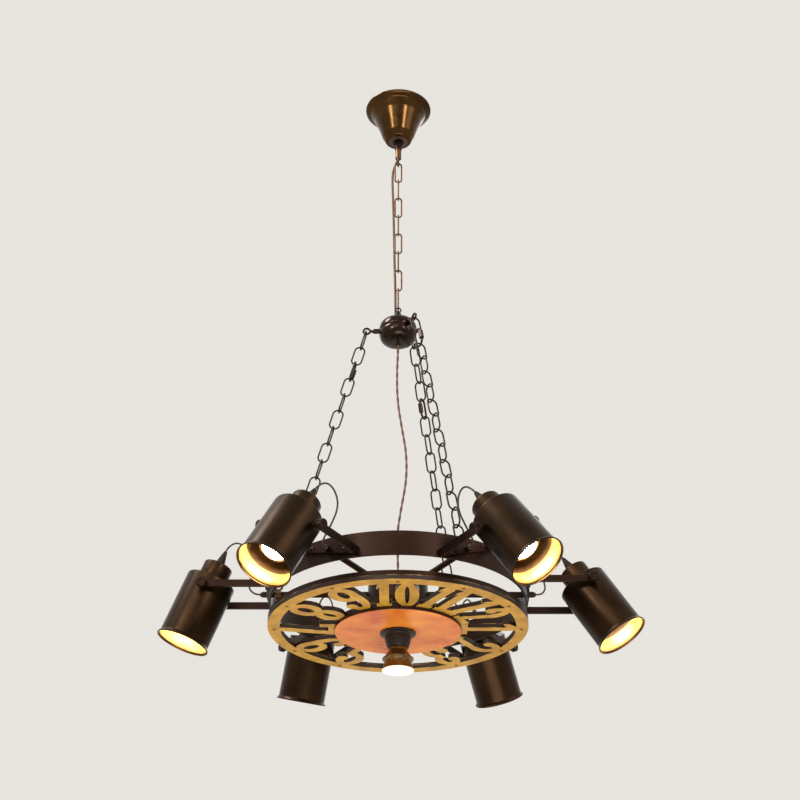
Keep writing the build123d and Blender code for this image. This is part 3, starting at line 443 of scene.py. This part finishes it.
def dome(radius, height, start=0.0, steps=8):
    """Outline of a low round head, from its edge to its middle."""
    turns = [pi / 2 * k / steps for k in range(steps + 1)]
    return [Vector((radius * cos(turn), start + height * sin(turn))) for turn in turns]


def ring_outline(radius, wire_r, steps=12):
    """Outline of a round wire bent to a closed ring."""
    turns = [2 * pi * k / steps for k in range(steps + 1)]
    return [Vector((radius + wire_r * cos(turn), wire_r * sin(turn))) for turn in turns]


def crown(radius, start, rise, steps=8):
    """Outline of a lens front, from its edge to its middle."""
    shares = [1 - k / steps for k in range(steps + 1)]
    return [Vector((radius * share, start + rise * (1 - share ** 2))) for share in shares]


def squared_arc(radius, height, squareness, first=1.5, last=87.0, steps=28):
    """Outline of a flattened ball from near its waist to near its pole, between two angles in
    degrees. A squareness of 2 is a plain ellipse."""
    turns = [radians(first + (last - first) * k / steps) for k in range(steps + 1)]
    power = 2 / squareness
    return [Vector((radius * cos(turn) ** power, height * sin(turn) ** power)) for turn in turns]


def new_piece(name, mesh, *materials):
    piece = bpy.data.objects.new(name, mesh)
    bpy.context.scene.collection.objects.link(piece)
    for material in materials:
        mesh.materials.append(material)
    return piece


def turned(name, place, *bands, sides=72, ripples=0, ripple_depth=0.0, ripple_from=0.0):
    """A piece turned about its own z. Each band is an outline in millimetres and its material, and
    the bands join end to end. Ripples run down whatever stands beyond a radius."""
    work = bmesh.new()
    for number, (outline, material) in enumerate(bands):
        rings = []
        for radius, height in outline:
            rippled = ripples and radius > ripple_from
            ring = []
            for k in range(sides):
                turn = 2 * pi * k / sides
                dip = ripple_depth * (0.5 - 0.5 * cos(ripples * turn)) if rippled else 0.0
                reach = (radius - dip) * mm
                ring.append(work.verts.new((reach * cos(turn), reach * sin(turn), height * mm)))
            rings.append(ring)
        for low_ring, high_ring in zip(rings, rings[1:]):
            for k in range(sides):
                after = (k + 1) % sides
                face = work.faces.new((low_ring[k], low_ring[after], high_ring[after], high_ring[k]))
                face.smooth = True
                face.material_index = number
    bmesh.ops.remove_doubles(work, verts=work.verts, dist=0.002 * mm)
    bmesh.ops.recalc_face_normals(work, faces=work.faces)
    mesh = bpy.data.meshes.new(name)
    work.to_mesh(mesh)
    work.free()
    mesh.set_sharp_from_angle(angle=radians(sharp_angle))
    piece = new_piece(name, mesh, *[material for outline, material in bands])
    piece.matrix_world = place
    return piece


def stand_in(piece, body, node):
    """Let a piece move with a body and stand in for the plain node of the frame."""
    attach(piece, body)
    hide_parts(node)


# Ceiling canopy: a bell with a rolled lip, a bead and a groove under it
canopy_out = rounded(
    (18, 82, 0), (25, 80.5, 5), (31.5, 68, 12), (38, 48, 40), (47.5, 23, 24), (54, 12.2, 0.8),
    (52.6, 10.8, 0.5), (56, 8.4, 0.8), (61.5, 5.6, 5), (65, 3.4, 1.5), (65, 0.3, 1.2), (62, 0.3, 0))
canopy_in = rounded(
    (62, 0.3, 0), (46, 20, 6), (36, 48, 20), (29, 68, 8), (18, 80.5, 0), (18, 82, 0))
canopy = turned(
    "canopy_bell", frame_along(Vector(), down), (canopy_out, bronze), (canopy_in, bronze), sides=96)
stand_in(canopy, "ceiling", "canopy")

# Ball hub: two pressed halves with full shoulders, that meet in a fine groove
ball_halves = (("ball_upper", "hub_dome", ball_top), ("ball_lower", "hub_cup", -ball_bottom))
for half_name, node, height in ball_halves:
    way = 1 if height > 0 else -1
    skin = squared_arc(ball_r, height, ball_squareness)
    lining = squared_arc(ball_r - ball_wall, height - way * ball_wall, ball_squareness)
    groove = [
        lining[0], Vector((ball_r - ball_wall, way * ball_groove_half)),
        Vector((ball_r - ball_groove_depth, way * ball_groove_half)), skin[0]]
    shell = turned(
        half_name, Matrix.Translation((0, 0, ball_z)), (groove, hub_lacquer), (skin, hub_lacquer),
        ([skin[-1]] + lining[::-1], hub_lacquer), sides=96)
    stand_in(shell, "hanging_frame", node)

# Finial: a cone on the ball, with a small ring for the chain
finial_out = rounded((0, -2.5, 0), (12, -2.5, 0), (12, 0.5, 0.8), (2.9, 18.5, 1), (0, 19.2, 0))
finial = turned("finial_cone", Matrix.Translation((0, 0, finial_z)), (finial_out, hub_lacquer))
finial_ring = turned(
    "finial_ring", frame_along(Vector((0, 0, finial_ring_z)), Vector((0, 1, 0))),
    (ring_outline(finial_ring_r, finial_wire_r), hub_lacquer), sides=32)
for piece in (finial, finial_ring):
    stand_in(piece, "hanging_frame", "hub_finial")

# Eye bolts out of the ball's side, each with a thick shoulder against the ball
shank_out = rounded(
    (0, 28, 0), (3, 28, 0), (3, 33, 0), (4.8, 33, 0.4), (4.8, 45, 1.2), (2.8, 47.5, 0.8),
    (2.8, 53, 0), (0, 53, 0))
for chain, angle in zip(chain_names, chain_angles):
    shank = turned(
        f"eye_bolt_{chain}", frame_along(Vector((0, 0, hub_z)), outward(angle)),
        (shank_out, hub_lacquer), sides=32)
    eye = turned(
        f"eye_ring_{chain}", frame_along(around(eye_reach, angle, hub_z), sideways(angle)),
        (ring_outline(eye_r, eye_wire_r), hub_lacquer), sides=32)
    for piece in (shank, eye):
        stand_in(piece, "hanging_frame", "hub_eye_bolts")

# Outlines of a can lamp, whose heights run from the pivot to the mouth
inside_r = shade_r - shade_wall
lip_inside_r = lip_r - shade_wall
shade_out = rounded(
    (shade_hole_r, -shade_back, 0), (shade_r, -shade_back, 2.5),
    (shade_r, shade_mouth - flare_depth, 3), (lip_r - 0.9, shade_mouth - lip_height - 0.6, 0.8),
    (lip_r, shade_mouth - lip_height, 0.5), (lip_r, shade_mouth, 0.7), (lip_inside_r, shade_mouth, 0))
lip_in = rounded(
    (lip_inside_r, shade_mouth, 0), (lip_inside_r, shade_mouth - lip_height, 0.5),
    (lip_inside_r - lip_inset, shade_mouth - lip_edge, 0))
glow_in = rounded(
    (lip_inside_r - lip_inset, shade_mouth - lip_edge, 0), (inside_r, shade_mouth - flare_depth, 3),
    (inside_r, shade_mouth - glow_depth, 0))
back_in = rounded(
    (inside_r, shade_mouth - glow_depth, 0), (inside_r, shade_wall - shade_back, 1.5),
    (shade_hole_r, shade_wall - shade_back, 0), (shade_hole_r, -shade_back, 0))
neck_out = rounded(
    (0, neck_start, 0), (neck_groove_r, neck_start, 0), (neck_groove_r, neck_start - neck_groove, 0.3),
    (neck_r, neck_start - neck_groove, 0.6), (neck_r, neck_end, 3), (0, neck_end, 0))
rib_step = (neck_end - nub_end) / nub_ribs
ribs = [(0, nub_end, 0)]
for i in range(nub_ribs):
    rib_r = nub_tip_r + (nub_r - nub_tip_r) * (i + 0.5) / nub_ribs
    start = nub_end + rib_step * i
    ribs += [
        (rib_r - 0.1, start, 0.3), (rib_r + 0.2, start + rib_step * 0.62, 0.4),
        (rib_r - rib_dip, start + rib_step * 0.66, 0.2), (rib_r - rib_dip, start + rib_step * 0.97, 0.2)]
ribs += [(nub_r + 0.4, neck_end, 0), (0, neck_end, 0)]
relief_out = rounded(*ribs)
holder_out = rounded(
    (0, neck_start, 0), (13, neck_start, 0), (13, -23.4, 0), (20, -23.4, 0.5), (20, -20.4, 0.5),
    (16, -20.4, 0.5), (16, 4, 0.8), (12.3, 4, 0.4), (12.3, -14.3, 0), (0, -14.3, 0))
glass_out = rounded(
    (0, bulb_foot, 0), (12, bulb_foot, 1), (12, 9, 12), (bulb_r, 41, 16), (bulb_r, 54, 0.8),
    (bulb_r - 0.6, 54.8, 0.3), (bulb_r - 0.6, 56, 0.3), (bulb_r, 56.6, 0.4), (bulb_r, 57.8, 0.6),
    (lens_r, bulb_rim, 0))
lens_out = crown(lens_r, bulb_rim, bulb_crown)
knob_out = rounded(
    (0, -shank_length, 0), (3, -shank_length, 0.3), (3, 0, 0), (8.0, 0, 0.3), (knob_r, 1.0, 0.3),
    (knob_r, 8.4, 0.8), (7.6, knob_height, 0.8), (3.6, knob_height, 0.3), (3.0, 9.2, 0.3), (0, 9.2, 0))
yoke_rivet_back = rounded(
    (0, -9.5, 0), (yoke_rivet_r, -9.5, 0.8), (yoke_rivet_r, -8.3, 0), (2, -8.3, 0),
    (2, yoke_rivet_gap, 0), (yoke_rivet_r, yoke_rivet_gap, 0))
yoke_rivet_front = dome(yoke_rivet_r, yoke_rivet_head, yoke_rivet_gap)

# Can lamps, each with the knobs and the rivets of its yoke
for lamp, angle, tilt, twist in zip(lamp_names, lamp_angles, lamp_tilts, yoke_twists):
    body = f"lamp_{lamp}"
    pivot = around(pivot_reach, angle, wheel_z)
    place = frame_along(pivot, aim_of(angle, tilt, twist))
    # The back of each can's inside is painted shade, in a darker lacquer than the gold at its mouth
    shade = turned(
        f"can_{lamp}", place, (shade_out, shade_paint), (lip_in, shade_paint),
        (glow_in, gold_lacquer), (back_in, painted_shade_lacquer), sides=96)
    stand_in(shade, body, f"shade_{lamp}")
    neck = turned(f"neck_{lamp}", place, (neck_out, shade_paint), sides=96)
    stand_in(neck, body, f"holder_{lamp}")
    relief = turned(f"strain_relief_{lamp}", place, (relief_out, rubber), sides=32)
    stand_in(relief, body, f"holder_{lamp}")
    holder = turned(f"lampholder_{lamp}", place, (holder_out, bakelite), sides=48)
    stand_in(holder, body, f"holder_{lamp}")
    bulb = turned(
        f"reflector_bulb_{lamp}", place, (glass_out, amber_glass), (lens_out, lens_glass))
    stand_in(bulb, body, f"bulb_{lamp}")

    for end_name, side in (("near", -1), ("far", 1)):
        away = pivot_line(angle, twist) * side
        knob = turned(
            f"knob_{lamp}_{end_name}", frame_along(pivot + away * leg_outside, away),
            (knob_out, iron_paint), sides=96, ripples=24, ripple_depth=0.55, ripple_from=8.5)
        stand_in(knob, "hanging_frame", "pivot_bolts")

    for end_name, turn in (("near", -yoke_rivet_angle), ("far", yoke_rivet_angle)):
        rivet_angle = angle + turn * cos(radians(twist))
        rivet_z = wheel_z + rim_r * sin(radians(turn)) * sin(radians(twist))
        rivet_place = frame_along(around(yoke_face, rivet_angle, rivet_z), outward(rivet_angle))
        rivet = turned(
            f"yoke_rivet_{lamp}_{end_name}", rivet_place, (yoke_rivet_back, iron_paint),
            (yoke_rivet_front, iron_paint), sides=32)
        stand_in(rivet, "hanging_frame", "yoke_rivets")

# Dial rivets: low brass domes round the ring
dial_rivet_foot = rounded(
    (0, -11.1, 0), (dial_rivet_r, -11.1, 0.6), (dial_rivet_r, -9.6, 0), (1.75, -9.6, 0),
    (1.75, 0, 0), (dial_rivet_r, 0, 0))
for hour in range(hours):
    rivet_place = frame_along(around(dial_rivet_reach, 360 / hours * hour, dial_z), down)
    rivet = turned(
        f"dial_rivet_{hour + 1}", rivet_place, (dial_rivet_foot, rivet_brass),
        (dome(dial_rivet_r, dial_rivet_head), rivet_brass), sides=32)
    stand_in(rivet, "hanging_frame", "dial_rivets")

# Centre socket: a flange and a stepped resin cup that narrows to the bulb
dial_frame = frame_along(Vector((0, 0, dial_z)), down)
socket_out = rounded(
    (5.2, 11, 0), (5.2, 6, 0), (27, 6, 0), (29.5, 7.5, 0.8), (29.5, 9.6, 0.8), (22, 11.6, 1),
    (21.5, 12.6, 0.5), (21.0, 20, 0.6), (20.2, 20.6, 0.3), (19.9, 21.4, 0.3), (20.6, 22, 0.4),
    (17.4, 33, 1.2), (13.5, 33, 0.4), (13.5, 13, 0), (5.2, 11, 0))
socket = turned("socket_cup", dial_frame, (socket_out, bakelite))
stand_in(socket, "hanging_frame", "centre_socket")

# Centre bulb: a flared amber reflector with a ring and a waist, and a lit lens
reflector_out = rounded(
    (0, 13.3, 0), (13.2, 13.3, 0.5), (13.2, 33.3, 0), (15, 33.3, 0.5), (15, 37, 4),
    (23.2, 49.5, 2), (25.8, 51, 0.5), (25.8, 53.4, 0.5), (22.4, 55.4, 1.2), (22.6, 60, 6),
    (25.8, 70.2, 0.4), (centre_lens_r, centre_lens_start, 0))
centre_lens_out = crown(centre_lens_r, centre_lens_start, bulb_crown)
centre_bulb = turned(
    "centre_reflector", dial_frame, (reflector_out, amber_glass), (centre_lens_out, centre_lens_glass))
stand_in(centre_bulb, "hanging_frame", "centre_bulb")


def smooth_line(points):
    """Points along the smooth line that a route controls."""
    curve = bpy.data.curves.new("route", "CURVE")
    curve.dimensions = "3D"
    spline = curve.splines.new("NURBS")
    spline.points.add(len(points) - 1)
    for target, point in zip(spline.points, points):
        target.co = (*point, 1)
    spline.order_u = 3
    spline.use_endpoint_u = True
    spline.resolution_u = 20
    route_object = bpy.data.objects.new("route", curve)
    mesh = bpy.data.meshes.new_from_object(route_object)
    line = [v.co.copy() for v in mesh.vertices]
    bpy.data.objects.remove(route_object)
    bpy.data.curves.remove(curve)
    bpy.data.meshes.remove(mesh)
    return line


def add_tube(name, line, radius, material, sides=16, lay=0.0):
    """A closed tube along a line, with a UV map that runs round it and along it in metres. With a
    lay, it is two cores that twist once round each other in that length."""
    work = bmesh.new()
    uv = work.loops.layers.uv.new("along")
    rings = []
    travel = [0.0]
    normal = None
    for i, point in enumerate(line):
        heading = (line[min(i + 1, len(line) - 1)] - line[max(i - 1, 0)]).normalized()
        if normal is None:
            normal = heading.orthogonal().normalized()
        else:
            normal = (normal - heading * normal.dot(heading)).normalized()
            travel.append(travel[-1] + (point - line[i - 1]).length)
        across = heading.cross(normal)
        twist = 2 * pi * travel[-1] / lay if lay else 0.0
        ring = []
        for k in range(sides):
            turn = 2 * pi * k / sides
            dip = cord_waist * (1 - cos(2 * (turn - twist))) if lay else 0.0
            spoke = normal * cos(turn) + across * sin(turn)
            ring.append(work.verts.new(point + spoke * radius * (1 - dip)))
        rings.append(ring)
    for i in range(len(rings) - 1):
        for k in range(sides):
            after = (k + 1) % sides
            face = work.faces.new((rings[i][k], rings[i][after], rings[i + 1][after], rings[i + 1][k]))
            face.smooth = True
            for loop, u, v in zip(face.loops, (k, k + 1, k + 1, k), (i, i, i + 1, i + 1)):
                loop[uv].uv = (u / sides, travel[v])
    work.faces.new(reversed(rings[0]))
    work.faces.new(rings[-1])
    bmesh.ops.recalc_face_normals(work, faces=work.faces)
    mesh = bpy.data.meshes.new(name)
    work.to_mesh(mesh)
    work.free()
    return new_piece(name, mesh, material)


# Supply cord, in two pieces that meet beside the top link
supply_line = smooth_line([Vector(p) * mm for p in supply_route])
meeting = min(range(len(supply_line)), key=lambda i: abs(supply_line[i].z - meeting_z))
upper_line = supply_line[:meeting + 1]
lower_line = supply_line[meeting:]
upper_cord = add_tube("supply_cord_top", upper_line, cord_width / 2, cord_braid)
lower_cord = add_tube("supply_cord_run", lower_line, cord_width / 2, cord_braid)
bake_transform(upper_cord)
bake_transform(lower_cord)
for cord, line in ((upper_cord, upper_line), (lower_cord, lower_line)):
    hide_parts("supply_cord")

# Drop cord, two twisted cores that hang a little slack
drop_line = smooth_line([Vector(p) * mm for p in drop_route])
drop_cord = add_tube("drop_cord_run", drop_line, cord_width / 2, cord_braid, lay=cord_lay)
stand_in(drop_cord, "hanging_frame", "drop_cord")

# Leads, each from a lamp's strain relief in a loop to the end of its spoke
lead_rows = zip(lamp_names, lamp_angles, lamp_tilts, yoke_twists, lead_routes)
for lamp, angle, tilt, twist, route in lead_rows:
    pivot = around(pivot_reach, angle, wheel_z)
    aim = aim_of(angle, tilt, twist)
    points = [pivot + aim * nub_end * mm, pivot + aim * (nub_end - lead_rise) * mm]
    for reach, side, height in route + lead_entry:
        points.append(around(reach * mm, angle, wheel_z + height * mm, side * mm))
    line = smooth_line(points)
    lead = add_tube(f"lead_{lamp}", line, lead_width / 2, lead_braid, sides=12)
    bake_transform(lead)
    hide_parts("lamp_leads")


def seen_rays(tree):
    """One for what is looked at or mirrored, nought for what only lights the lamp."""
    rays = add_node(tree, "LightPath").outputs
    seen = combined(tree, "MAXIMUM", rays["Is Camera Ray"], rays["Is Glossy Ray"])
    return combined(tree, "MAXIMUM", seen, rays["Is Transmission Ray"])


# The floor takes shadows under the lamp, and runs out into the backdrop's colour further away
half_floor = floor_size / 2
floor_corners = [(x * half_floor, y * half_floor, floor_z) for x, y in ((-1, -1), (1, -1), (1, 1), (-1, 1))]
floor_mesh = bpy.data.meshes.new("floor")
floor_mesh.from_pydata(floor_corners, [], [(0, 1, 2, 3)])
floor_paint, floor_tree = new_material("pale floor")
floor_reach = from_axis(floor_tree, own_place(floor_tree))
run_out = spread(floor_tree, floor_reach, floor_near, floor_far, interpolation_type="SMOOTHSTEP")
faded = combined(floor_tree, "MULTIPLY", run_out, seen_rays(floor_tree))
matt = add_node(floor_tree, "BsdfPrincipled", {"Base Color": linear(floor_colour), "Roughness": 0.8})
far_floor = add_node(floor_tree, "Emission", {"Color": linear(backdrop_colour), "Strength": 1.0})
floor_shader = add_node(
    floor_tree, "MixShader", {0: faded, 1: matt.outputs[0], 2: far_floor.outputs[0]})
finish_material(floor_paint, floor_tree, floor_shader)
floor = new_piece("floor", floor_mesh, floor_paint)

# The sky lights evenly, and is seen as the pale backdrop
world = bpy.data.worlds.new("studio")
bpy.context.scene.world = world
world.use_nodes = True
sky = world.node_tree
sky.nodes.clear()
light = add_node(sky, "Background", {"Color": linear("#FFFFFF"), "Strength": 0.5})
backdrop = add_node(sky, "Background", {"Color": linear(backdrop_colour), "Strength": 1.0})
mixed = add_node(sky, "MixShader", {0: seen_rays(sky), 1: light.outputs[0], 2: backdrop.outputs[0]})
sky_output = add_node(sky, "OutputWorld")
sky.links.new(mixed.outputs[0], sky_output.inputs["Surface"])

# Soft round lights: place, size across and watts. The two small glints stand at the canopy's
# height, where they draw long highlights down it
soft_lights = {
    "key": ((-2.0, -0.5, 1.6), 1.2, 75),
    "front": ((-1.0, -3.6, 0.9), 2.0, 24),
    "fill": ((2.9, -1.8, 0.7), 2.0, 25),
    "back": ((0.8, 3.2, 0.8), 2.4, 18),
    "from_below": ((0.2, -1.2, -2.7), 2.2, 48),
    "glint_left": ((-1.73, -2.45, 0.05), 0.55, 24),
    "glint_right": ((1.6, -2.55, 0.05), 0.55, 24),
}
for name, (place, size, power) in soft_lights.items():
    light_data = bpy.data.lights.new(name, "AREA")
    light_data.shape = "DISK"
    light_data.size = size
    light_data.energy = power
    aim = Vector(lamp_middle) - Vector(place)
    soft_light = bpy.data.objects.new(name, light_data)
    soft_light.location = place
    soft_light.rotation_euler = aim.to_track_quat("-Z", "Y").to_euler()
    bpy.context.scene.collection.objects.link(soft_light)

camera_data = bpy.data.cameras.new("camera")
camera_data.sensor_width = sensor_width
camera_data.lens = focal_pixels / picture_pixels * sensor_width
camera = bpy.data.objects.new("camera", camera_data)
camera.location = camera_place
camera.rotation_euler = (radians(90 + camera_pitch), 0, 0)
bpy.context.scene.collection.objects.link(camera)
bpy.context.scene.camera = camera
bpy.context.scene.view_settings.view_transform = "Standard"
